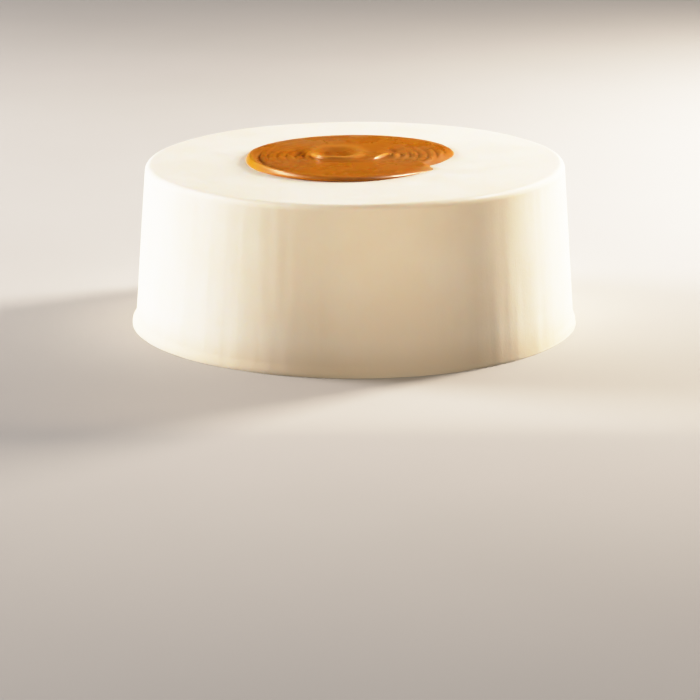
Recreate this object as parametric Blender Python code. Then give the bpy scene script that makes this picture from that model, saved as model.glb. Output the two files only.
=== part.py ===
"""Caramel cake: a tall round cake under smooth pale frosting, with a coiled disc of thick caramel on top.

The base stands on Z = 0 with its middle at the origin. +Z is up and -Y is the front. All sizes are in metres.
Two solids: the frosted cake, and the caramel disc that lies on it.
"""
import math

import bmesh
import bpy

# Frosted cake
CAKE_HEIGHT = 0.0800
CAKE_TOP_RADIUS = 0.1020
CAKE_BASE_RADIUS = 0.1077
SHOULDER_RADIUS = 0.0034
TOP_RISE_PER_METRE = 0.0055     # the hand-levelled top climbs slightly towards +X
FOOT_HEIGHT = 0.0060            # frosting squeezed out where the side meets the board
FOOT_TIP_HEIGHT = 0.0015
FOOT_UNDERCUT = 0.0009
FOOT_FLARE_FRONT = 0.0002       # at the front and back
FOOT_FLARE_SIDE = 0.0014        # at the left and right
FOOT_FLARE_EXTRA_LEFT = 0.0003
FOOT_FLARE_NARROWING = 12       # the flare dies away quickly from the left and right towards the front

# Caramel disc
DISC_CENTRE_X = -0.0014
DISC_CENTRE_Y = 0.0025
DISC_RADIUS = 0.0514
DISC_THICKNESS = 0.0023
DISC_EDGE_ROUNDING = 0.0026
EDGE_FOOT_SHARE = 0.15          # height of the edge's upright foot, as a share of the thickness
DISC_GAP = 0.0003               # between the cake's top and the caramel's underside
RELIEF_START_SHARE = 0.6        # the relief fades in above this share of the thickness

# The disc's outline, which steps in where the coil's outer turn ends
DISC_WOBBLE = 0.0003
WOBBLE_WAVES = (                # slow waves in the outline: waves in a turn, phase, share of the wobble
    (2, 0.7, 1.0),
    (5, 2.1, 0.6),
)
EXTRA_DEPTH = 0.0020            # how much further the disc reaches at the front and back
OUTLINE_SWELLS = (              # bulges and a dent in the outline: reach, angle, spread
    (0.0020, math.radians(35), math.radians(22)),
    (0.0010, math.radians(158), math.radians(18)),
    (0.0010, math.radians(-14), math.radians(9)),
    (-0.0044, math.radians(-45), math.radians(30)),
)
STEP_DEPTH = 0.0075
STEP_ANGLE = math.radians(-24)
STEP_GENTLE_SPREAD = math.radians(29.5)
STEP_SHARP_SPREAD = math.radians(7)

# The edge beside the step, smeared thin
THIN_SHARE = 0.80               # how much of the thickness is gone at the edge itself
THIN_ANGLE = math.radians(-18)
THIN_SPREAD = math.radians(42)
THIN_WIDTH = 0.0060

# Coil pressed into the caramel
COIL_CENTRE_X = -0.0009
COIL_OUTER_RADIUS = 0.0485
COIL_PITCH = 0.00435
COIL_HEIGHT = 0.00028
COIL_START_RADIUS = 0.0160
COIL_FADE = 0.0060
COIL_END_ANGLE = math.radians(-20)
COIL_SMEARED_SHARE = 0.07       # what is left of the ridges at the front and back
COIL_NARROWING = 8              # the ridges die away quickly from the left and right
GROOVE_SHARPNESS = 1.5

# Rolled rim, thickest round the left side, with a trough inside it
RIM_HEIGHT = 0.0009
RIM_INSET = 0.0020
RIM_WIDTH = 0.0017
RIM_MIDDLE_ANGLE = math.radians(203)
RIM_SPREAD = math.radians(36)
TROUGH_DEPTH = 0.0006
TROUGH_INSET = 0.0062
TROUGH_WIDTH = 0.0024

# Thick loop of caramel at the middle, where the coil begins
LOOP_CENTRE_X = -0.0077
LOOP_CENTRE_Y = 0.0055
LOOP_RADIUS = 0.0119
LOOP_STRETCH = 1.24             # the loop is a little deeper than it is wide
LOOP_SQUARENESS = 2.8           # 2 is an ellipse; more flattens the front and back
LOOP_HEIGHT = 0.0014
LOOP_BACK_SHARE = 0.50          # the loop is lower at its back
LOOP_PLAIN_UP_TO = -0.2         # it grows bolder from here, where its back is -1 and its front 1,
LOOP_BOLD_FROM = 0.8            # and is at its boldest from here
LOOP_CORNER_ANGLE = math.radians(-135)
LOOP_CORNER_SPREAD = math.radians(55)
LOOP_STEEP_WIDTH = 0.00045
LOOP_GENTLE_WIDTH = 0.0036
LOOP_HOLLOW_DEPTH = 0.0007
LOOP_FLOOR_RADIUS = 0.0048      # the hollow is deepest within this
LOOP_WALL_RADIUS = 0.0101       # and has run out by here

# Straight crease in front of the loop
CREASE_DEPTH = 0.0006
CREASE_MIDDLE_X = -0.0042
CREASE_MIDDLE_Y = -0.0145
CREASE_HALF_LENGTH = 0.0115
CREASE_WIDTH = 0.0014

# Short curved fold beside the loop
FOLD_CENTRE_X = -0.0194
FOLD_CENTRE_Y = 0.0126
FOLD_RADIUS = 0.0380
FOLD_HEIGHT = 0.0013
FOLD_ANGLE = math.radians(-28)
FOLD_SPREAD = math.radians(12.5)
FOLD_STEEP_WIDTH = 0.0009
FOLD_GENTLE_WIDTH = 0.0024

# Hollows and a small hump that the palette knife left: middle X and Y, half width, half depth, height
KNIFE_MARKS = (
    (-0.0250, 0.0065, 0.0038, 0.0080, -0.0012),
    (0.0205, 0.0120, 0.0030, 0.0050, -0.0012),
    (0.0214, -0.0035, 0.0024, 0.0045, 0.0006),
)

# Facets
TURN_STEPS = 96
FOOT_ROWS = 7
FOOT_ROW_CROWDING = 1.5         # the foot's rows lie closer together towards the board
SIDE_ROWS = 4
SHOULDER_STEPS = 5
EDGE_STEPS = 3
DISC_RINGS = 44
SHARP_ANGLE = math.radians(50)
MERGE_DISTANCE = 0.00001

# Finishes: colour, roughness, coat
FROSTING = ((0.90, 0.83, 0.70), 0.50, 0.05)
CARAMEL = ((0.49, 0.15, 0.006), 0.32, 0.10)


def smooth_step(low, high, value):
    """0 below low, 1 above high, and a smooth S between them."""
    share = min(max((value - low) / (high - low), 0.0), 1.0)
    return share * share * (3.0 - 2.0 * share)


def hump(distance, width, sharpness=2):
    """A smooth bump of height 1, which has died away by about twice its width."""
    return math.exp(-abs(distance / width) ** sharpness)


def turn_between(angle, middle):
    """The signed angle from middle to angle, within half a turn."""
    return math.remainder(angle - middle, math.tau)


def material(name, colour, roughness, coat):
    """A smooth food surface with a soft gloss."""
    finish = bpy.data.materials.new(name)
    finish.use_nodes = True
    shader = finish.node_tree.nodes["Principled BSDF"]
    shader.inputs["Base Color"].default_value = (*colour, 1.0)
    shader.inputs["Roughness"].default_value = roughness
    shader.inputs["Metallic"].default_value = 0.0
    shader.inputs["Coat Weight"].default_value = coat
    finish.diffuse_color = (*colour, 1.0)
    return finish


def turned(profile):
    """A closed bmesh: the profile, given as radius and height from axis to axis, spun round Z."""
    mesh = bmesh.new()
    points = [mesh.verts.new((radius, 0.0, height)) for radius, height in profile]
    edges = [mesh.edges.new(pair) for pair in zip(points, points[1:])]
    bmesh.ops.spin(mesh, geom=points + edges, cent=(0, 0, 0), axis=(0, 0, 1), dvec=(0, 0, 0),
                   angle=math.tau, steps=TURN_STEPS, use_merge=True, use_duplicate=False)
    bmesh.ops.remove_doubles(mesh, verts=mesh.verts, dist=MERGE_DISTANCE)
    bmesh.ops.recalc_face_normals(mesh, faces=mesh.faces)
    return mesh


def add_object(name, mesh, finish):
    """Turn a bmesh into a smooth-shaded object at the origin."""
    data = bpy.data.meshes.new(name)
    mesh.to_mesh(data)
    mesh.free()
    data.materials.append(finish)
    data.shade_smooth()
    data.set_sharp_from_angle(angle=SHARP_ANGLE)
    piece = bpy.data.objects.new(name, data)
    bpy.context.scene.collection.objects.link(piece)
    return piece


# ---------------------------------------------------------------- frosted cake

def side_radius(height):
    """Radius of the slightly tapered side, without its foot."""
    share = height / (CAKE_HEIGHT - SHOULDER_RADIUS)
    return CAKE_BASE_RADIUS + (CAKE_TOP_RADIUS - CAKE_BASE_RADIUS) * share


def cake_profile():
    """Radius and height up the foot, side and shoulder, from the axis below to the axis above."""
    profile = [(0.0, 0.0), (CAKE_BASE_RADIUS - FOOT_UNDERCUT, 0.0)]
    for row in range(1, FOOT_ROWS + 1):
        height = FOOT_HEIGHT * (row / FOOT_ROWS) ** FOOT_ROW_CROWDING
        profile.append((side_radius(height), height))
    shoulder_start = CAKE_HEIGHT - SHOULDER_RADIUS
    for row in range(1, SIDE_ROWS):
        height = FOOT_HEIGHT + (shoulder_start - FOOT_HEIGHT) * row / SIDE_ROWS
        profile.append((side_radius(height), height))
    for step in range(SHOULDER_STEPS + 1):
        angle = 0.5 * math.pi * step / SHOULDER_STEPS
        profile.append((CAKE_TOP_RADIUS - SHOULDER_RADIUS * (1.0 - math.cos(angle)),
                        shoulder_start + SHOULDER_RADIUS * math.sin(angle)))
    profile.append((0.0, CAKE_HEIGHT))
    return profile


def foot_flare(height, angle):
    """How far the foot stands out from the side: most at the left and right, little at the front."""
    sideness = math.cos(angle) ** FOOT_FLARE_NARROWING
    reach = FOOT_FLARE_FRONT + (FOOT_FLARE_SIDE - FOOT_FLARE_FRONT) * sideness
    reach -= FOOT_FLARE_EXTRA_LEFT * math.cos(angle)
    return reach * (1.0 - smooth_step(FOOT_TIP_HEIGHT, FOOT_HEIGHT, height))


def top_rise(x):
    """Height of the sloping top above its middle."""
    return TOP_RISE_PER_METRE * x


def build_cake():
    mesh = turned(cake_profile())
    for point in mesh.verts:
        radius = math.hypot(point.co.x, point.co.y)
        angle = math.atan2(point.co.y, point.co.x)
        if radius > 0.5 * CAKE_BASE_RADIUS:
            grown = 1.0 + foot_flare(point.co.z, angle) / radius
            point.co.x *= grown
            point.co.y *= grown
        point.co.z += top_rise(point.co.x) * point.co.z / CAKE_HEIGHT
    return add_object("frosted_cake", mesh, material("frosting", *FROSTING))


# ---------------------------------------------------------------- caramel disc

def disc_reach(angle):
    """Radius of the disc's outline: nearly round, with swells, a dent, and a step in where the coil ends."""
    from_step = turn_between(angle, STEP_ANGLE)
    if from_step > 0.0:
        step = hump(from_step, STEP_GENTLE_SPREAD, sharpness=3)
    else:
        step = hump(from_step, STEP_SHARP_SPREAD)
    wobble = sum(share * math.sin(waves * angle + phase) for waves, phase, share in WOBBLE_WAVES)
    reach = DISC_RADIUS + DISC_WOBBLE * wobble + EXTRA_DEPTH * math.sin(angle) ** 2 - STEP_DEPTH * step
    for swell, middle, spread in OUTLINE_SWELLS:
        reach += swell * hump(turn_between(angle, middle), spread)
    return reach


def thinning(angle, inset):
    """The share of the thickness that is missing near the smeared edge."""
    edge = 1.0 - smooth_step(0.0, THIN_WIDTH, inset)
    return THIN_SHARE * edge * hump(turn_between(angle, THIN_ANGLE), THIN_SPREAD)


def coil_relief(x, y, inset):
    """The turned ridges: one arm with sharp grooves, its radius growing clockwise as seen from above."""
    radius = math.hypot(x - COIL_CENTRE_X, y)
    angle = math.atan2(y, x - COIL_CENTRE_X)
    turns = (COIL_OUTER_RADIUS - radius) / COIL_PITCH - turn_between(COIL_END_ANGLE, angle) / math.tau
    groove = 0.5 - 0.5 * math.cos(math.tau * turns)
    share = COIL_SMEARED_SHARE + (1.0 - COIL_SMEARED_SHARE) * math.cos(angle) ** COIL_NARROWING
    share *= smooth_step(COIL_START_RADIUS, COIL_START_RADIUS + COIL_FADE, radius)
    share *= smooth_step(RIM_INSET, TROUGH_INSET, inset)
    return COIL_HEIGHT * share * (1.0 - 2.0 * groove ** GROOVE_SHARPNESS)


def rim_relief(inset, angle):
    """The rolled rim and the trough behind it, by distance in from the outline."""
    leftness = hump(turn_between(angle, RIM_MIDDLE_ANGLE), RIM_SPREAD, sharpness=3)
    rim = RIM_HEIGHT * hump(inset - RIM_INSET, RIM_WIDTH)
    trough = TROUGH_DEPTH * hump(inset - TROUGH_INSET, TROUGH_WIDTH)
    return leftness * (rim - trough)


def loop_relief(x, y):
    """The loop at the middle: a ring round a hollow, steepest at its front left corner."""
    across = x - LOOP_CENTRE_X
    along = (y - LOOP_CENTRE_Y) / LOOP_STRETCH
    summed = abs(across) ** LOOP_SQUARENESS + abs(along) ** LOOP_SQUARENESS
    from_middle = summed ** (1.0 / LOOP_SQUARENESS)
    outside = from_middle - LOOP_RADIUS
    angle = math.atan2(along, across)
    frontness = smooth_step(LOOP_PLAIN_UP_TO, LOOP_BOLD_FROM, -math.sin(angle))
    boldness = 0.5 * (frontness + hump(turn_between(angle, LOOP_CORNER_ANGLE), LOOP_CORNER_SPREAD))
    width = LOOP_GENTLE_WIDTH
    if outside > 0.0:
        width += (LOOP_STEEP_WIDTH - LOOP_GENTLE_WIDTH) * boldness
    ring = LOOP_HEIGHT * (LOOP_BACK_SHARE + (1.0 - LOOP_BACK_SHARE) * boldness) * hump(outside, width)
    hollow = LOOP_HOLLOW_DEPTH * (1.0 - smooth_step(LOOP_FLOOR_RADIUS, LOOP_WALL_RADIUS, from_middle))
    return ring - hollow


def crease_relief(x, y):
    """The straight crease in front of the loop."""
    along = hump(x - CREASE_MIDDLE_X, CREASE_HALF_LENGTH, sharpness=6)
    return -CREASE_DEPTH * along * hump(y - CREASE_MIDDLE_Y, CREASE_WIDTH)


def fold_relief(x, y):
    """The short curved fold beside the loop, steep on its outer side."""
    outside = math.hypot(x - FOLD_CENTRE_X, y - FOLD_CENTRE_Y) - FOLD_RADIUS
    angle = math.atan2(y - FOLD_CENTRE_Y, x - FOLD_CENTRE_X)
    width = FOLD_STEEP_WIDTH if outside > 0.0 else FOLD_GENTLE_WIDTH
    along = hump(turn_between(angle, FOLD_ANGLE), FOLD_SPREAD, sharpness=3)
    return FOLD_HEIGHT * along * hump(outside, width)


def knife_relief(x, y):
    """The soft hollows and the small hump."""
    relief = 0.0
    for middle_x, middle_y, half_width, half_depth, height in KNIFE_MARKS:
        relief += height * hump(x - middle_x, half_width) * hump(y - middle_y, half_depth)
    return relief


def caramel_relief(x, y):
    """Height of the caramel's surface above its plain thickness, around the disc's own centre."""
    angle = math.atan2(y, x)
    inset = disc_reach(angle) - math.hypot(x, y)
    relief = coil_relief(x, y, inset) + rim_relief(inset, angle) + loop_relief(x, y)
    return relief + crease_relief(x, y) + fold_relief(x, y) + knife_relief(x, y)


def disc_profile():
    """Radius and height of the plain disc: flat below, rounded edge, and fine rings across the top."""
    profile = [(0.0, 0.0), (DISC_RADIUS - 0.5 * DISC_EDGE_ROUNDING, 0.0)]
    for step in range(EDGE_STEPS + 1):
        angle = 0.5 * math.pi * step / EDGE_STEPS
        rise = EDGE_FOOT_SHARE + (1.0 - EDGE_FOOT_SHARE) * math.sin(angle)
        profile.append((DISC_RADIUS - DISC_EDGE_ROUNDING * (1.0 - math.cos(angle)), DISC_THICKNESS * rise))
    inner_radius = DISC_RADIUS - DISC_EDGE_ROUNDING
    for ring in range(1, DISC_RINGS + 1):
        profile.append((inner_radius * (1.0 - ring / DISC_RINGS), DISC_THICKNESS))
    return profile


def build_caramel():
    mesh = turned(disc_profile())
    for point in mesh.verts:
        upper = smooth_step(RELIEF_START_SHARE * DISC_THICKNESS, DISC_THICKNESS, point.co.z)
        angle = math.atan2(point.co.y, point.co.x)
        reach = disc_reach(angle)
        x = point.co.x * reach / DISC_RADIUS
        y = point.co.y * reach / DISC_RADIUS
        left_over = 1.0 - thinning(angle, reach - math.hypot(x, y))
        height = (point.co.z + upper * caramel_relief(x, y)) * left_over
        point.co.x = x + DISC_CENTRE_X
        point.co.y = y + DISC_CENTRE_Y
        point.co.z = CAKE_HEIGHT + DISC_GAP + top_rise(point.co.x) + height
    return add_object("caramel_swirl", mesh, material("caramel", *CARAMEL))


def main():
    for leftover in list(bpy.data.objects):
        bpy.data.objects.remove(leftover)
    build_cake()
    build_caramel()


main()
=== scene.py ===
"""Caramel cake, dressed: fine frosting with its scraper marks, and glossy coiled caramel.

The cake stands on Z = 0 with its middle at the origin. +Z is up and -Y is the front.
All sizes are in metres.
"""
import math

import bmesh
import bpy
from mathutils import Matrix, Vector, noise


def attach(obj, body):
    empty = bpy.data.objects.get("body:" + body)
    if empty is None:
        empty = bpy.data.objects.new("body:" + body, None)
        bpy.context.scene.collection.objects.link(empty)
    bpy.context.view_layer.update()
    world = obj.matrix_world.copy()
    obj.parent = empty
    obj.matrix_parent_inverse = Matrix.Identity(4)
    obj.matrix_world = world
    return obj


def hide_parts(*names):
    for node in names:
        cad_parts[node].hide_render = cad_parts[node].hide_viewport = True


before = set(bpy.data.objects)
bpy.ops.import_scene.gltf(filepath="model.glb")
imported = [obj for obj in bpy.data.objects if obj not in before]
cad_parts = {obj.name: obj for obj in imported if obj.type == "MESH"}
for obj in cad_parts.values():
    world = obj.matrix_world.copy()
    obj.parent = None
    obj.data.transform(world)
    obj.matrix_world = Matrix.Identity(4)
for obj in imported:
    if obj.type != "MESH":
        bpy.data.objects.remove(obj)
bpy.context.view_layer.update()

# ---------------------------------------------------------------- sizes, the same as in the solids

CAKE_BASE_RADIUS = 0.1077
CAKE_TOP_RADIUS = 0.1020
CAKE_HEIGHT = 0.0800
SHOULDER_RADIUS = 0.0034
TOP_RISE_PER_METRE = 0.0055
FOOT_HEIGHT = 0.0060
FOOT_TIP_HEIGHT = 0.0015
FOOT_UNDERCUT = 0.0009
FOOT_FLARE_FRONT = 0.0002
FOOT_FLARE_SIDE = 0.0014
FOOT_FLARE_EXTRA_LEFT = 0.0003
FOOT_FLARE_NARROWING = 12       # the flare dies away quickly from the left and right towards the front

DISC_CENTRE = Vector((-0.0014, 0.0025, 0.0))
DISC_RADIUS = 0.0514
DISC_THICKNESS = 0.0023
DISC_SINK = 0.0002              # how far the caramel's underside is pressed into the frosting

MERGE_DISTANCE = 0.000001


# ---------------------------------------------------------------- small helpers

def smooth_step(low, high, value):
    """0 below low, 1 above high, and a smooth S between them."""
    share = min(max((value - low) / (high - low), 0.0), 1.0)
    return share * share * (3.0 - 2.0 * share)


def hump(distance, width, sharpness=2):
    """A smooth bump of height 1, which has died away by about twice its width."""
    return math.exp(-abs(distance / width) ** sharpness)


def turn_between(angle, middle):
    """The signed angle from middle to angle, within half a turn."""
    return math.remainder(angle - middle, math.tau)


def turned(profile, steps):
    """A closed bmesh: the profile, given as radius and height from axis to axis, spun round Z."""
    mesh = bmesh.new()
    points = [mesh.verts.new((radius, 0.0, height)) for radius, height in profile]
    edges = [mesh.edges.new(pair) for pair in zip(points, points[1:])]
    bmesh.ops.spin(mesh, geom=points + edges, cent=(0, 0, 0), axis=(0, 0, 1), dvec=(0, 0, 0),
                   angle=math.tau, steps=steps, use_merge=True, use_duplicate=False)
    bmesh.ops.remove_doubles(mesh, verts=mesh.verts, dist=MERGE_DISTANCE)
    bmesh.ops.recalc_face_normals(mesh, faces=mesh.faces)
    return mesh


def add_piece(name, mesh, finish, node):
    """Make the bmesh a smooth object at the origin that stands for a node of the frame."""
    data = bpy.data.meshes.new(name)
    mesh.to_mesh(data)
    mesh.free()
    data.materials.append(finish)
    data.shade_smooth()
    piece = bpy.data.objects.new(name, data)
    bpy.context.scene.collection.objects.link(piece)
    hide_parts(node)
    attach(piece, "root")


# ---------------------------------------------------------------- frosted cake

CAKE_TURN_STEPS = 384
FOOT_ROWS = 22
FOOT_ROW_CROWDING = 1.5         # the foot's rows lie closer together towards the floor
SIDE_ROWS = 70
SHOULDER_ROWS = 14
TOP_ROWS = 60

SIDE_SWELL = 0.0004
STREAK_DEPTH = 0.00012
FINE_STREAK_SHARE = 0.6
TOP_SWELL = 0.00035

# Noises over the side: how fine around the cake, how fine up it, and where in the noise they start
BROAD_SWELLS = (1.7, 9.0, Vector((0.0, 0.0, 0.0)))
STREAKS = (16.0, 14.0, Vector((3.0, 7.0, 0.0)))
FINE_STREAKS = (42.0, 30.0, Vector((11.0, 5.0, 0.0)))

# Noise over the top: how fine, and where in the noise it starts
TOP_SWELLS_FINENESS = 22.0
TOP_SWELLS_START = Vector((5.0, 2.0, 9.0))

# The side is fully uneven between the first two heights, and not at all above the third
UNEVEN_FROM = 0.2 * FOOT_HEIGHT
UNEVEN_TO = CAKE_HEIGHT - 2.0 * SHOULDER_RADIUS
EVEN_FROM = CAKE_HEIGHT - 0.3 * SHOULDER_RADIUS


def side_radius(height):
    """Radius of the slightly tapered side, without its foot."""
    share = height / (CAKE_HEIGHT - SHOULDER_RADIUS)
    return CAKE_BASE_RADIUS + (CAKE_TOP_RADIUS - CAKE_BASE_RADIUS) * share


def cake_profile():
    """Radius and height up the foot, side and shoulder, from the axis below to the axis above."""
    profile = [(0.0, 0.0), (CAKE_BASE_RADIUS - FOOT_UNDERCUT, 0.0)]
    for row in range(1, FOOT_ROWS + 1):
        height = FOOT_HEIGHT * (row / FOOT_ROWS) ** FOOT_ROW_CROWDING
        profile.append((side_radius(height), height))
    shoulder_start = CAKE_HEIGHT - SHOULDER_RADIUS
    for row in range(1, SIDE_ROWS):
        height = FOOT_HEIGHT + (shoulder_start - FOOT_HEIGHT) * row / SIDE_ROWS
        profile.append((side_radius(height), height))
    for row in range(SHOULDER_ROWS + 1):
        angle = 0.5 * math.pi * row / SHOULDER_ROWS
        profile.append((CAKE_TOP_RADIUS - SHOULDER_RADIUS * (1.0 - math.cos(angle)),
                        shoulder_start + SHOULDER_RADIUS * math.sin(angle)))
    flat_radius = CAKE_TOP_RADIUS - SHOULDER_RADIUS
    for row in range(1, TOP_ROWS + 1):
        profile.append((flat_radius * (1.0 - row / TOP_ROWS), CAKE_HEIGHT))
    return profile


def foot_flare(height, angle):
    """How far the foot stands out from the side: most at the left and right, little at the front."""
    sideness = math.cos(angle) ** FOOT_FLARE_NARROWING
    reach = FOOT_FLARE_FRONT + (FOOT_FLARE_SIDE - FOOT_FLARE_FRONT) * sideness
    reach -= FOOT_FLARE_EXTRA_LEFT * math.cos(angle)
    return reach * (1.0 - smooth_step(FOOT_TIP_HEIGHT, FOOT_HEIGHT, height))


def top_rise(x):
    """Height of the sloping top above its middle."""
    return TOP_RISE_PER_METRE * x


def side_noise(angle, height, pattern):
    """One of the noises over the side."""
    fine_around, fine_up, start = pattern
    place_around = Vector((math.cos(angle), math.sin(angle), 0.0))
    return noise.noise(place_around * fine_around + Vector((0.0, 0.0, height * fine_up)) + start)


def side_swell(angle, height):
    """The side's unevenness: broad swells, and narrow streaks that the scraper left."""
    broad = side_noise(angle, height, BROAD_SWELLS)
    streaks = side_noise(angle, height, STREAKS)
    fine = side_noise(angle, height, FINE_STREAKS)
    return SIDE_SWELL * broad + STREAK_DEPTH * (streaks + FINE_STREAK_SHARE * fine)


def top_swell(x, y):
    """The top's unevenness, broad and shallow, left by the palette knife."""
    return TOP_SWELL * noise.noise(Vector((x, y, 0.0)) * TOP_SWELLS_FINENESS + TOP_SWELLS_START)


def build_cake():
    """The frosted cake: the turned profile with its flared foot, uneven side and sloping top."""
    mesh = turned(cake_profile(), CAKE_TURN_STEPS)
    for point in mesh.verts:
        radius = math.hypot(point.co.x, point.co.y)
        angle = math.atan2(point.co.y, point.co.x)
        height = point.co.z
        if radius > 0.5 * CAKE_BASE_RADIUS and height < EVEN_FROM:
            uneven = smooth_step(0.0, UNEVEN_FROM, height)
            uneven *= 1.0 - smooth_step(UNEVEN_TO, EVEN_FROM, height)
            grown = 1.0 + (foot_flare(height, angle) + uneven * side_swell(angle, height)) / radius
            point.co.x *= grown
            point.co.y *= grown
        upper = smooth_step(CAKE_HEIGHT - SHOULDER_RADIUS, CAKE_HEIGHT, height)
        point.co.z += top_rise(point.co.x) * height / CAKE_HEIGHT
        point.co.z += upper * top_swell(point.co.x, point.co.y)
    add_piece("frosting_coat", mesh, frosting_finish(), "frosted_cake")


# ---------------------------------------------------------------- caramel disc

DISC_TURN_STEPS = 420
DISC_EDGE_ROWS = 12
DISC_RINGS = 220
DISC_EDGE_ROUNDING = 0.0026
EDGE_FOOT_SHARE = 0.15          # height of the edge's upright foot, as a share of the thickness
RELIEF_START_SHARE = 0.6        # the relief fades in above this share of the thickness

DISC_WOBBLE = 0.0003
WOBBLE_WAVES = (                # slow waves in the outline: waves in a turn, phase, share of the wobble
    (2, 0.7, 1.0),
    (5, 2.1, 0.6),
)
EXTRA_DEPTH = 0.0020            # how much further the disc reaches at the front and back
OUTLINE_SWELLS = (              # bulges and a dent in the outline: reach, angle, spread
    (0.0020, math.radians(35), math.radians(22)),
    (0.0010, math.radians(158), math.radians(18)),
    (0.0010, math.radians(-14), math.radians(9)),
    (-0.0044, math.radians(-45), math.radians(30)),
)
STEP_DEPTH = 0.0075             # how far the outline steps in where the coil's outer turn ends
STEP_ANGLE = math.radians(-24)
STEP_GENTLE_SPREAD = math.radians(29.5)
STEP_SHARP_SPREAD = math.radians(7)

THIN_SHARE = 0.80               # how much of the thickness is gone at the edge beside the step
THIN_ANGLE = math.radians(-18)
THIN_SPREAD = math.radians(42)
THIN_WIDTH = 0.0060

COIL_CENTRE_X = -0.0009
COIL_OUTER_RADIUS = 0.0485
COIL_PITCH = 0.00435
COIL_HEIGHT = 0.00028
COIL_START_RADIUS = 0.0160
COIL_FADE = 0.0060
COIL_END_ANGLE = math.radians(-20)
COIL_SMEARED_SHARE = 0.07       # what is left of the ridges at the front and back
COIL_NARROWING = 8              # the ridges die away quickly from the left and right
GROOVE_SHARPNESS = 1.5

RIM_HEIGHT = 0.0009
RIM_INSET = 0.0020
RIM_WIDTH = 0.0017
RIM_MIDDLE_ANGLE = math.radians(203)
RIM_SPREAD = math.radians(36)
TROUGH_DEPTH = 0.0006
TROUGH_INSET = 0.0062
TROUGH_WIDTH = 0.0024

LOOP_CENTRE = Vector((-0.0077, 0.0055, 0.0))
LOOP_RADIUS = 0.0119
LOOP_STRETCH = 1.24             # the loop is a little deeper than it is wide
LOOP_SQUARENESS = 2.8           # 2 is an ellipse; more flattens the front and back
LOOP_HEIGHT = 0.0014
LOOP_BACK_SHARE = 0.50          # the loop is lower at its back
LOOP_PLAIN_UP_TO = -0.2         # between its back at -1 and its front at 1, it grows bolder from here
LOOP_BOLD_FROM = 0.8            # and is at its boldest from here
LOOP_CORNER_ANGLE = math.radians(-135)
LOOP_CORNER_SPREAD = math.radians(55)
LOOP_STEEP_WIDTH = 0.00045
LOOP_GENTLE_WIDTH = 0.0036
LOOP_HOLLOW_DEPTH = 0.0007
LOOP_FLOOR_RADIUS = 0.0048      # the hollow is deepest within this
LOOP_WALL_RADIUS = 0.0101       # and has run out by here

CREASE_DEPTH = 0.0006
CREASE_MIDDLE = Vector((-0.0042, -0.0145, 0.0))
CREASE_HALF_LENGTH = 0.0115
CREASE_WIDTH = 0.0014

FOLD_CENTRE = Vector((-0.0194, 0.0126, 0.0))
FOLD_RADIUS = 0.0380
FOLD_HEIGHT = 0.0013
FOLD_ANGLE = math.radians(-28)
FOLD_SPREAD = math.radians(12.5)
FOLD_STEEP_WIDTH = 0.0009
FOLD_GENTLE_WIDTH = 0.0024

# Hollows and a small hump that the palette knife left: middle, half width, half depth, height
KNIFE_MARKS = (
    (Vector((-0.0250, 0.0065, 0.0)), 0.0038, 0.0080, -0.0012),
    (Vector((0.0205, 0.0120, 0.0)), 0.0030, 0.0050, -0.0012),
    (Vector((0.0214, -0.0035, 0.0)), 0.0024, 0.0045, 0.0006),
)

# Where the finish changes: the thin amber rim with a painted glow, the smear beside the step, and two
# patches of painted sheen
AMBER_INNER_INSET = 0.0016
AMBER_OUTER_INSET = 0.0043
AMBER_LEFT_ANGLE = math.radians(194)
AMBER_LEFT_SPREAD = math.radians(24)
AMBER_RIGHT_SHARE = 0.15
AMBER_RIGHT_ANGLE = math.radians(8)
AMBER_RIGHT_SPREAD = math.radians(16)
SMEAR_ANGLE = math.radians(-36)
SMEAR_SPREAD = math.radians(9)
SMEAR_WIDTH = 0.0080
# Patches of painted sheen
PAINTED_SHEEN_PATCHES = (                # middle, half width, half depth
    (Vector((-0.0238, 0.0327, 0.0)), 0.0160, 0.0100),
    (Vector((0.0272, -0.0085, 0.0)), 0.0140, 0.0120),
)
FINISH_LAYERS = ("relief", "inset", "amber_and_painted_glow", "smear", "painted_sheen")


def disc_reach(angle):
    """Radius of the disc's outline: nearly round, with swells, a dent, and a step where the coil ends."""
    from_step = turn_between(angle, STEP_ANGLE)
    if from_step > 0.0:
        step = hump(from_step, STEP_GENTLE_SPREAD, sharpness=3)
    else:
        step = hump(from_step, STEP_SHARP_SPREAD)
    wobble = sum(share * math.sin(waves * angle + phase) for waves, phase, share in WOBBLE_WAVES)
    reach = DISC_RADIUS + DISC_WOBBLE * wobble + EXTRA_DEPTH * math.sin(angle) ** 2 - STEP_DEPTH * step
    for swell, middle, spread in OUTLINE_SWELLS:
        reach += swell * hump(turn_between(angle, middle), spread)
    return reach


def thinning(angle, inset):
    """The share of the thickness that is missing near the smeared edge."""
    edge = 1.0 - smooth_step(0.0, THIN_WIDTH, inset)
    return THIN_SHARE * edge * hump(turn_between(angle, THIN_ANGLE), THIN_SPREAD)


def coil_relief(x, y, inset):
    """The turned ridges: one arm with sharp grooves, its radius growing clockwise as seen from above."""
    radius = math.hypot(x - COIL_CENTRE_X, y)
    angle = math.atan2(y, x - COIL_CENTRE_X)
    turns = (COIL_OUTER_RADIUS - radius) / COIL_PITCH - turn_between(COIL_END_ANGLE, angle) / math.tau
    groove = 0.5 - 0.5 * math.cos(math.tau * turns)
    share = COIL_SMEARED_SHARE + (1.0 - COIL_SMEARED_SHARE) * math.cos(angle) ** COIL_NARROWING
    share *= smooth_step(COIL_START_RADIUS, COIL_START_RADIUS + COIL_FADE, radius)
    share *= smooth_step(RIM_INSET, TROUGH_INSET, inset)
    return COIL_HEIGHT * share * (1.0 - 2.0 * groove ** GROOVE_SHARPNESS)


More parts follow.
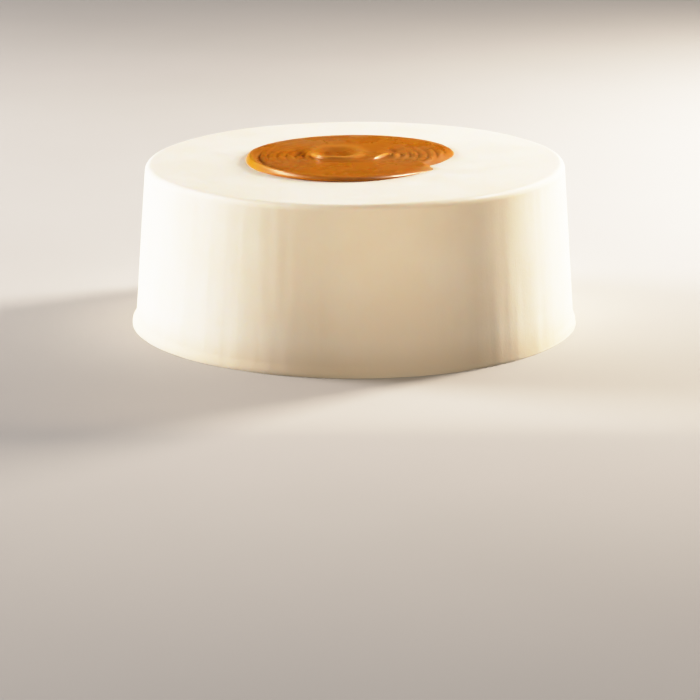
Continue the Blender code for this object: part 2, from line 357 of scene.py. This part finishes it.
def rim_relief(inset, angle):
    """The rolled rim and the trough behind it, by distance in from the outline."""
    leftness = hump(turn_between(angle, RIM_MIDDLE_ANGLE), RIM_SPREAD, sharpness=3)
    rim = RIM_HEIGHT * hump(inset - RIM_INSET, RIM_WIDTH)
    trough = TROUGH_DEPTH * hump(inset - TROUGH_INSET, TROUGH_WIDTH)
    return leftness * (rim - trough)


def loop_relief(x, y):
    """The loop at the middle: a ring round a hollow, steepest at its front left corner."""
    across = x - LOOP_CENTRE.x
    along = (y - LOOP_CENTRE.y) / LOOP_STRETCH
    summed = abs(across) ** LOOP_SQUARENESS + abs(along) ** LOOP_SQUARENESS
    from_middle = summed ** (1.0 / LOOP_SQUARENESS)
    outside = from_middle - LOOP_RADIUS
    angle = math.atan2(along, across)
    frontness = smooth_step(LOOP_PLAIN_UP_TO, LOOP_BOLD_FROM, -math.sin(angle))
    boldness = 0.5 * (frontness + hump(turn_between(angle, LOOP_CORNER_ANGLE), LOOP_CORNER_SPREAD))
    width = LOOP_GENTLE_WIDTH
    if outside > 0.0:
        width += (LOOP_STEEP_WIDTH - LOOP_GENTLE_WIDTH) * boldness
    ring = LOOP_HEIGHT * (LOOP_BACK_SHARE + (1.0 - LOOP_BACK_SHARE) * boldness) * hump(outside, width)
    hollow = LOOP_HOLLOW_DEPTH * (1.0 - smooth_step(LOOP_FLOOR_RADIUS, LOOP_WALL_RADIUS, from_middle))
    return ring - hollow


def crease_relief(x, y):
    """The straight crease in front of the loop."""
    along = hump(x - CREASE_MIDDLE.x, CREASE_HALF_LENGTH, sharpness=6)
    return -CREASE_DEPTH * along * hump(y - CREASE_MIDDLE.y, CREASE_WIDTH)


def fold_relief(x, y):
    """The short curved fold beside the loop, steep on its outer side."""
    outside = math.hypot(x - FOLD_CENTRE.x, y - FOLD_CENTRE.y) - FOLD_RADIUS
    angle = math.atan2(y - FOLD_CENTRE.y, x - FOLD_CENTRE.x)
    width = FOLD_STEEP_WIDTH if outside > 0.0 else FOLD_GENTLE_WIDTH
    along = hump(turn_between(angle, FOLD_ANGLE), FOLD_SPREAD, sharpness=3)
    return FOLD_HEIGHT * along * hump(outside, width)


def knife_relief(x, y):
    """The soft hollows and the small hump."""
    relief = 0.0
    for middle, half_width, half_depth, height in KNIFE_MARKS:
        relief += height * hump(x - middle.x, half_width) * hump(y - middle.y, half_depth)
    return relief


def caramel_relief(x, y):
    """Height of the caramel's surface above its plain thickness, around the disc's own centre."""
    angle = math.atan2(y, x)
    inset = disc_reach(angle) - math.hypot(x, y)
    relief = coil_relief(x, y, inset) + rim_relief(inset, angle) + loop_relief(x, y)
    return relief + crease_relief(x, y) + fold_relief(x, y) + knife_relief(x, y)


def disc_profile():
    """Radius and height of the plain disc: flat below, rounded edge, and fine rings across the top."""
    profile = [(0.0, 0.0), (DISC_RADIUS - 0.5 * DISC_EDGE_ROUNDING, 0.0)]
    for row in range(DISC_EDGE_ROWS + 1):
        angle = 0.5 * math.pi * row / DISC_EDGE_ROWS
        rise = EDGE_FOOT_SHARE + (1.0 - EDGE_FOOT_SHARE) * math.sin(angle)
        profile.append((DISC_RADIUS - DISC_EDGE_ROUNDING * (1.0 - math.cos(angle)), DISC_THICKNESS * rise))
    inner_radius = DISC_RADIUS - DISC_EDGE_ROUNDING
    for ring in range(1, DISC_RINGS + 1):
        profile.append((inner_radius * (1.0 - ring / DISC_RINGS), DISC_THICKNESS))
    return profile


def amber_and_painted_glow_share(angle, inset):
    """Where the thin caramel is yellower and has a painted glow of light through it: the rim at the left,
    and a little of the right end.
    """
    thin_rim = 1.0 - smooth_step(AMBER_INNER_INSET, AMBER_OUTER_INSET, inset)
    left = hump(turn_between(angle, AMBER_LEFT_ANGLE), AMBER_LEFT_SPREAD)
    right = AMBER_RIGHT_SHARE * hump(turn_between(angle, AMBER_RIGHT_ANGLE), AMBER_RIGHT_SPREAD)
    return thin_rim * (left + right)


def smear_share(angle, inset):
    """Where the caramel is wiped so thin that the frosting shows through, beside the step."""
    edge = 1.0 - smooth_step(0.0, SMEAR_WIDTH, inset)
    return edge * hump(turn_between(angle, SMEAR_ANGLE), SMEAR_SPREAD)


def painted_sheen_share(x, y):
    """Where a painted sheen pales the caramel: two soft patches."""
    return max(hump(x - middle.x, half_width) * hump(y - middle.y, half_depth)
               for middle, half_width, half_depth in PAINTED_SHEEN_PATCHES)


def build_caramel():
    """The disc, with the values that its finish reads kept on its points."""
    mesh = turned(disc_profile(), DISC_TURN_STEPS)
    layers = {name: mesh.verts.layers.float.new(name) for name in FINISH_LAYERS}
    for point in mesh.verts:
        upper = smooth_step(RELIEF_START_SHARE * DISC_THICKNESS, DISC_THICKNESS, point.co.z)
        angle = math.atan2(point.co.y, point.co.x)
        reach = disc_reach(angle)
        x = point.co.x * reach / DISC_RADIUS
        y = point.co.y * reach / DISC_RADIUS
        inset = reach - math.hypot(x, y)
        thin = thinning(angle, inset)
        relief = upper * caramel_relief(x, y) * (1.0 - thin)
        values = (relief, inset, amber_and_painted_glow_share(angle, inset), smear_share(angle, inset), painted_sheen_share(x, y))
        for name, value in zip(FINISH_LAYERS, values):
            point[layers[name]] = value
        point.co.x = x + DISC_CENTRE.x
        point.co.y = y + DISC_CENTRE.y
        point.co.z = point.co.z * (1.0 - thin) + CAKE_HEIGHT - DISC_SINK + top_rise(point.co.x) + relief
    add_piece("caramel_disc", mesh, caramel_finish(), "caramel_swirl")


# ---------------------------------------------------------------- finishes

CREAM = (0.935, 0.862, 0.728)
CREAM_WARM = (0.915, 0.828, 0.672)
# Painted shade: below the height that follows, the cream turns darker and warmer towards the foot
CREAM_PAINTED_FOOT_SHADE = (0.800, 0.690, 0.520)
PAINTED_FOOT_SHADE_HEIGHT = 0.018

CARAMEL_BODY = (0.475, 0.146, 0.0060)
# Painted sheen: a lighter colour on the ridges' crests
CARAMEL_PAINTED_RIDGE_SHEEN = (0.700, 0.290, 0.0350)
# Darker in grooves and hollows: thicker syrup, and painted shade
CARAMEL_THICK_AND_SHADED = (0.350, 0.088, 0.0025)
# Thin rim: yellower caramel, with a painted glow of light shining through it
CARAMEL_AMBER_AND_PAINTED_GLOW = (0.475, 0.200, 0.0050)
CARAMEL_SMEAR = (0.420, 0.200, 0.0350)
CARAMEL_DULL = (0.460, 0.160, 0.0260)
# Painted sheen: a paler, whiter caramel colour in two patches
CARAMEL_PAINTED_SHEEN = (0.450, 0.170, 0.0270)

FLOOR_LIGHT = (0.46, 0.45, 0.43)
FLOOR_DARK = (0.44, 0.43, 0.41)

# How fine each pattern is
MOTTLE_FINENESS = 26.0
SHEEN_SPOT_FINENESS = 90.0
SCRAPER_MARK_FINENESS = 210.0
FROSTING_WAVE_FINENESS = 130.0
FROSTING_GRAIN_FINENESS = 950.0
CLOUD_FINENESS = 34.0
SMEAR_STREAK_FINENESS = 420.0
SYRUP_FINENESS = 60.0
CARAMEL_WAVE_FINENESS = 240.0
CARAMEL_GRAIN_FINENESS = 1100.0
FLOOR_CLOUD_FINENESS = 3.0

UPRIGHT_STRETCH = (1.0, 1.0, 0.05)      # draws a pattern out along Z
SMEAR_STRETCH = (1.0, 0.3, 1.0)         # draws a pattern out along Y

SCRAPER_MARK_DEPTH = 0.0002
FROSTING_WAVE_DEPTH = 0.0003
FROSTING_GRAIN_DEPTH = 0.00012
CARAMEL_WAVE_DEPTH = 0.0002
CARAMEL_GRAIN_DEPTH = 0.00005

# Ranges: of a pattern, a relief or an inset, and what they are turned into
MOST_OF_A_NOISE = (0.3, 0.7)
MOTTLE_RANGE = (0.35, 0.68)
FROSTING_ROUGHNESS = (0.42, 0.58)
THICK_AND_SHADED_GROOVE_RELIEF = (-0.0001, -0.0011)
PAINTED_SHEEN_RIDGE_RELIEF = (0.0001, 0.0014)
CLOUD_RANGE = (0.42, 0.66)
CLOUD_SHARE = (0.0, 0.65)
SMEAR_STREAK_RANGE = (0.25, 0.6)
SMEAR_STREAK_SHARE = (0.45, 0.95)
CARAMEL_ROUGHNESS = (0.24, 0.34)
DRIER_RIM_INSET = (0.0065, 0.0010)
DRIER_RIM_GAIN = (1.0, 1.25)

FROSTING_SOCKETS = {
    "Specular IOR Level": 0.35,
    "Subsurface Weight": 0.35,
    "Subsurface Radius": (1.0, 0.7, 0.45),
    "Subsurface Scale": 0.004,
}
CARAMEL_SOCKETS = {
    "Specular Tint": (1.0, 0.83, 0.55, 1.0),
    "Subsurface Weight": 0.25,
    "Subsurface Radius": (1.0, 0.35, 0.05),
    "Subsurface Scale": 0.0015,
    "Coat Weight": 0.08,
    "Coat Roughness": 0.12,
}
FLOOR_SOCKETS = {
    "Roughness": 0.9,
    "Specular IOR Level": 0.1,
}

# Places of the Mix node's colours among its sockets
MIX_FIRST_COLOUR = 6
MIX_SECOND_COLOUR = 7
MIX_RESULT_COLOUR = 2


def new_finish(name, sockets):
    """A material with its node tree and its Principled shader, on which these sockets are set."""
    finish = bpy.data.materials.new(name)
    finish.use_nodes = True
    tree = finish.node_tree
    shader = tree.nodes["Principled BSDF"]
    for socket, value in sockets.items():
        shader.inputs[socket].default_value = value
    return finish, tree, shader


def object_place(tree, stretch=(1.0, 1.0, 1.0)):
    """The place on the object, in metres, scaled differently along X, Y and Z."""
    coordinates = tree.nodes.new("ShaderNodeTexCoord")
    mapping = tree.nodes.new("ShaderNodeMapping")
    mapping.inputs["Scale"].default_value = stretch
    tree.links.new(coordinates.outputs["Object"], mapping.inputs["Vector"])
    return mapping.outputs["Vector"]


def noise_pattern(tree, place, scale, detail=3.0, roughness=0.55):
    """A noise from 0 to 1 over a place."""
    pattern = tree.nodes.new("ShaderNodeTexNoise")
    pattern.inputs["Scale"].default_value = scale
    pattern.inputs["Detail"].default_value = detail
    pattern.inputs["Roughness"].default_value = roughness
    tree.links.new(place, pattern.inputs["Vector"])
    return pattern.outputs["Fac"]


def remapped(tree, value, old_range, new_range=(0.0, 1.0)):
    """The value turned smoothly from its old range to a new one, clamped at the ends."""
    spread = tree.nodes.new("ShaderNodeMapRange")
    spread.interpolation_type = "SMOOTHSTEP"
    spread.inputs["From Min"].default_value = old_range[0]
    spread.inputs["From Max"].default_value = old_range[1]
    spread.inputs["To Min"].default_value = new_range[0]
    spread.inputs["To Max"].default_value = new_range[1]
    tree.links.new(value, spread.inputs["Value"])
    return spread.outputs["Result"]


def blended(tree, share, first, second):
    """A colour between two, each a colour or another node's output."""
    mix = tree.nodes.new("ShaderNodeMix")
    mix.data_type = "RGBA"
    tree.links.new(share, mix.inputs["Factor"])
    for socket, colour in ((mix.inputs[MIX_FIRST_COLOUR], first), (mix.inputs[MIX_SECOND_COLOUR], second)):
        if isinstance(colour, tuple):
            socket.default_value = (*colour, 1.0)
        else:
            tree.links.new(colour, socket)
    return mix.outputs[MIX_RESULT_COLOUR]


def multiplied(tree, first, second):
    """The product of two values."""
    product = tree.nodes.new("ShaderNodeMath")
    product.operation = "MULTIPLY"
    tree.links.new(first, product.inputs[0])
    tree.links.new(second, product.inputs[1])
    return product.outputs[0]


def embossed(tree, height, depth, strength, beneath=None):
    """A bump from a height of 0 to 1 that is so many metres deep, over another bump if one is given."""
    bump = tree.nodes.new("ShaderNodeBump")
    bump.inputs["Distance"].default_value = depth
    bump.inputs["Strength"].default_value = strength
    tree.links.new(height, bump.inputs["Height"])
    if beneath is not None:
        tree.links.new(beneath, bump.inputs["Normal"])
    return bump.outputs["Normal"]


def attribute_value(tree, name):
    """A number kept on the piece's points."""
    attribute = tree.nodes.new("ShaderNodeAttribute")
    attribute.attribute_name = name
    return attribute.outputs["Fac"]


def frosting_finish():
    """Whipped frosting: faintly mottled cream, painted shade that darkens it towards the foot, fine grain,
    and the scraper's upright marks.
    """
    finish, tree, shader = new_finish("whipped_frosting", FROSTING_SOCKETS)
    place = object_place(tree)
    mottle = remapped(tree, noise_pattern(tree, place, MOTTLE_FINENESS, detail=4.0), MOTTLE_RANGE)
    colour = blended(tree, mottle, CREAM, CREAM_WARM)
    height = tree.nodes.new("ShaderNodeSeparateXYZ")
    tree.links.new(place, height.inputs["Vector"])
    # Painted shade: darker towards the foot
    painted_foot_shade = remapped(tree, height.outputs["Z"], (PAINTED_FOOT_SHADE_HEIGHT, 0.0))
    colour = blended(tree, painted_foot_shade, colour, CREAM_PAINTED_FOOT_SHADE)
    tree.links.new(colour, shader.inputs["Base Color"])
    sheen_spots = noise_pattern(tree, place, SHEEN_SPOT_FINENESS)
    roughness = remapped(tree, sheen_spots, MOST_OF_A_NOISE, FROSTING_ROUGHNESS)
    tree.links.new(roughness, shader.inputs["Roughness"])
    marks = noise_pattern(tree, object_place(tree, UPRIGHT_STRETCH), SCRAPER_MARK_FINENESS, detail=2.0)
    normal = embossed(tree, marks, SCRAPER_MARK_DEPTH, strength=0.35)
    waves = noise_pattern(tree, place, FROSTING_WAVE_FINENESS, detail=2.0)
    normal = embossed(tree, waves, FROSTING_WAVE_DEPTH, strength=0.25, beneath=normal)
    grain = noise_pattern(tree, place, FROSTING_GRAIN_FINENESS, detail=4.0, roughness=0.6)
    normal = embossed(tree, grain, FROSTING_GRAIN_DEPTH, strength=0.35, beneath=normal)
    tree.links.new(normal, shader.inputs["Normal"])
    return finish


def caramel_finish():
    """Thick caramel: deep brown in its grooves, from thicker syrup and painted shade; lighter on its
    ridges, a painted sheen; amber with a painted glow where its rim is thin; paler patches of painted
    sheen.
    """
    finish, tree, shader = new_finish("glossy_caramel", CARAMEL_SOCKETS)
    place = object_place(tree)
    relief = attribute_value(tree, "relief")
    inset = attribute_value(tree, "inset")
    # Darker in grooves and hollows: thicker syrup, and painted shade
    colour = blended(tree, remapped(tree, relief, THICK_AND_SHADED_GROOVE_RELIEF), CARAMEL_BODY, CARAMEL_THICK_AND_SHADED)
    clouds = noise_pattern(tree, place, CLOUD_FINENESS, detail=2.0)
    colour = blended(tree, remapped(tree, clouds, CLOUD_RANGE, CLOUD_SHARE), colour, CARAMEL_DULL)
    # Painted sheen: paler caramel in two patches
    colour = blended(tree, attribute_value(tree, "painted_sheen"), colour, CARAMEL_PAINTED_SHEEN)
    # Painted sheen: lighter on the ridges' crests
    colour = blended(tree, remapped(tree, relief, PAINTED_SHEEN_RIDGE_RELIEF), colour, CARAMEL_PAINTED_RIDGE_SHEEN)
    # Thin rim at the left: yellower caramel, with a painted glow of light through it
    colour = blended(tree, attribute_value(tree, "amber_and_painted_glow"), colour, CARAMEL_AMBER_AND_PAINTED_GLOW)
    streaks = noise_pattern(tree, object_place(tree, SMEAR_STRETCH), SMEAR_STREAK_FINENESS)
    streaks = remapped(tree, streaks, SMEAR_STREAK_RANGE, SMEAR_STREAK_SHARE)
    smear = multiplied(tree, attribute_value(tree, "smear"), streaks)
    colour = blended(tree, smear, colour, CARAMEL_SMEAR)
    tree.links.new(colour, shader.inputs["Base Color"])
    syrup = noise_pattern(tree, place, SYRUP_FINENESS, detail=4.0)
    gloss = remapped(tree, syrup, MOST_OF_A_NOISE, CARAMEL_ROUGHNESS)
    drier_rim = remapped(tree, inset, DRIER_RIM_INSET, DRIER_RIM_GAIN)
    tree.links.new(multiplied(tree, gloss, drier_rim), shader.inputs["Roughness"])
    waves = noise_pattern(tree, place, CARAMEL_WAVE_FINENESS, detail=2.0)
    normal = embossed(tree, waves, CARAMEL_WAVE_DEPTH, strength=0.22)
    grain = noise_pattern(tree, place, CARAMEL_GRAIN_FINENESS)
    normal = embossed(tree, grain, CARAMEL_GRAIN_DEPTH, strength=0.22, beneath=normal)
    tree.links.new(normal, shader.inputs["Normal"])
    return finish


def floor_finish():
    """A matt pale floor with the faintest unevenness."""
    finish, tree, shader = new_finish("pale_floor", FLOOR_SOCKETS)
    clouds = noise_pattern(tree, object_place(tree), FLOOR_CLOUD_FINENESS)
    colour = blended(tree, remapped(tree, clouds, MOST_OF_A_NOISE), FLOOR_LIGHT, FLOOR_DARK)
    tree.links.new(colour, shader.inputs["Base Color"])
    return finish


# ---------------------------------------------------------------- studio

CAMERA_PLACE = Vector((-0.0024, -1.433, 0.375))
CAMERA_DOWN_TILT = math.radians(15.25)
CAMERA_LENS = 154.3
CAMERA_SENSOR_WIDTH = 36.0
FLOOR_HALF_SIZE = 6.0
LIT_POINT = Vector((0.0, 0.0, 0.05))
RIGHT_OF_TOP = Vector((0.07, 0.0, 0.08))
STRIP_PLACE = Vector((0.066, -0.20, 0.072))
NEAR_FILL_PLACE = Vector((0.05, -0.30, 0.26))
BACKWARDS = Vector((0.0, 1.0, 0.0))
LIGHT = "light"
HIGHLIGHTS = "highlights"
FILL_COLOUR = (1.0, 0.82, 0.645)
SURROUND_COLOUR = (1.0, 0.95, 0.88, 1.0)
SURROUND_STRENGTH = 0.057

WHITE_AT = 2.8                  # the light level that is shown as white
SHOULDER_START = 0.6            # above this level, light is rolled off
SHOULDER_LIGHT_LEVELS = (0.2, 0.4, 0.6, 0.75, 0.9, 1.1, 1.4, 1.8, 2.3)
COMBINED_CURVE = 3              # place of the curve for all three colours among the curves


def build_floor():
    """The floor, which neither throws light on the cake nor is mirrored in it."""
    mesh = bmesh.new()
    bmesh.ops.create_grid(mesh, x_segments=1, y_segments=1, size=FLOOR_HALF_SIZE)
    data = bpy.data.meshes.new("floor")
    mesh.to_mesh(data)
    mesh.free()
    data.materials.append(floor_finish())
    floor = bpy.data.objects.new("floor", data)
    bpy.context.scene.collection.objects.link(floor)
    floor.visible_diffuse = False
    floor.visible_glossy = False


def add_camera():
    """The camera, in front of the cake and a little above it."""
    data = bpy.data.cameras.new("camera")
    data.lens = CAMERA_LENS
    data.sensor_width = CAMERA_SENSOR_WIDTH
    camera = bpy.data.objects.new("camera", data)
    camera.location = CAMERA_PLACE
    camera.rotation_euler = (math.radians(90) - CAMERA_DOWN_TILT, 0.0, 0.0)
    bpy.context.scene.collection.objects.link(camera)
    bpy.context.scene.camera = camera


def add_softbox(name, place, target, width, height, watts, colour, gives):
    """A rectangular soft light at place, facing target, that gives either light or highlights alone."""
    data = bpy.data.lights.new(name, "AREA")
    data.shape = "RECTANGLE"
    data.size = width
    data.size_y = height
    data.energy = watts
    data.color = colour
    lamp = bpy.data.objects.new(name, data)
    lamp.location = place
    lamp.rotation_euler = (target - place).to_track_quat("-Z", "Y").to_euler()
    lamp.visible_camera = False
    lamp.visible_diffuse = gives == LIGHT
    lamp.visible_glossy = gives == HIGHLIGHTS
    bpy.context.scene.collection.objects.link(lamp)


def around(turn, rise, distance):
    """A place that far from the lit point, turned from the front towards +X and raised, in degrees."""
    turn = math.radians(turn)
    rise = math.radians(rise)
    level = math.cos(rise)
    direction = Vector((math.sin(turn) * level, -math.cos(turn) * level, math.sin(rise)))
    return direction * distance + LIT_POINT


def light_studio():
    """A large light on each side, a little behind the cake, soft fills, and two lights for highlights."""
    add_softbox("left_softbox", around(turn=-103.5, rise=12.5, distance=1.5), LIT_POINT,
                width=0.58, height=0.50, watts=59.5, colour=(1.0, 0.945, 0.94), gives=LIGHT)
    add_softbox("right_softbox", around(turn=121.8, rise=14.5, distance=1.0), LIT_POINT,
                width=0.23, height=0.52, watts=37.0, colour=(1.0, 0.885, 0.785), gives=LIGHT)
    add_softbox("left_glint", around(turn=-103.5, rise=46, distance=1.0), LIT_POINT,
                width=0.40, height=0.26, watts=8.5, colour=(1.0, 0.94, 0.92), gives=HIGHLIGHTS)
    add_softbox("right_glint", around(turn=121.8, rise=49, distance=1.0), LIT_POINT,
                width=0.25, height=0.30, watts=15.5, colour=(1.0, 0.94, 0.90), gives=HIGHLIGHTS)
    add_softbox("overhead_right", around(turn=122, rise=36, distance=0.48), RIGHT_OF_TOP,
                width=0.2, height=0.2, watts=0.62, colour=(1.0, 0.97, 0.95), gives=LIGHT)
    add_softbox("front_strip", STRIP_PLACE, STRIP_PLACE + BACKWARDS,
                width=0.40, height=0.04, watts=0.168, colour=FILL_COLOUR, gives=LIGHT)
    add_softbox("near_fill", NEAR_FILL_PLACE, LIT_POINT,
                width=0.3, height=0.06, watts=0.15, colour=FILL_COLOUR, gives=LIGHT)


def light_surroundings():
    """A faint even light from all round, which gives no highlights."""
    world = bpy.data.worlds.new("studio")
    world.use_nodes = True
    background = world.node_tree.nodes["Background"]
    background.inputs["Color"].default_value = SURROUND_COLOUR
    background.inputs["Strength"].default_value = SURROUND_STRENGTH
    world.cycles_visibility.glossy = False
    bpy.context.scene.world = world


def light_shown(light):
    """Display level of a light level above the shoulder's start."""
    room = 1.0 - SHOULDER_START
    return SHOULDER_START + room * (1.0 - math.exp(-(light - SHOULDER_START) / room))


def soften_highlights():
    """Roll the brightest parts off gently to white in place of cutting them."""
    settings = bpy.context.scene.view_settings
    settings.view_transform = "Standard"
    settings.use_curve_mapping = True
    mapping = settings.curve_mapping
    mapping.white_level = (WHITE_AT, WHITE_AT, WHITE_AT)
    mapping.extend = "HORIZONTAL"
    curve = mapping.curves[COMBINED_CURVE]
    for light in SHOULDER_LIGHT_LEVELS:
        shown = light if light < SHOULDER_START else light_shown(light)
        curve.points.new(light / WHITE_AT, shown)
    curve.points[-1].location = (1.0, 1.0)
    mapping.update()


add_camera()
build_cake()
build_caramel()
build_floor()
light_studio()
light_surroundings()
soften_highlights()
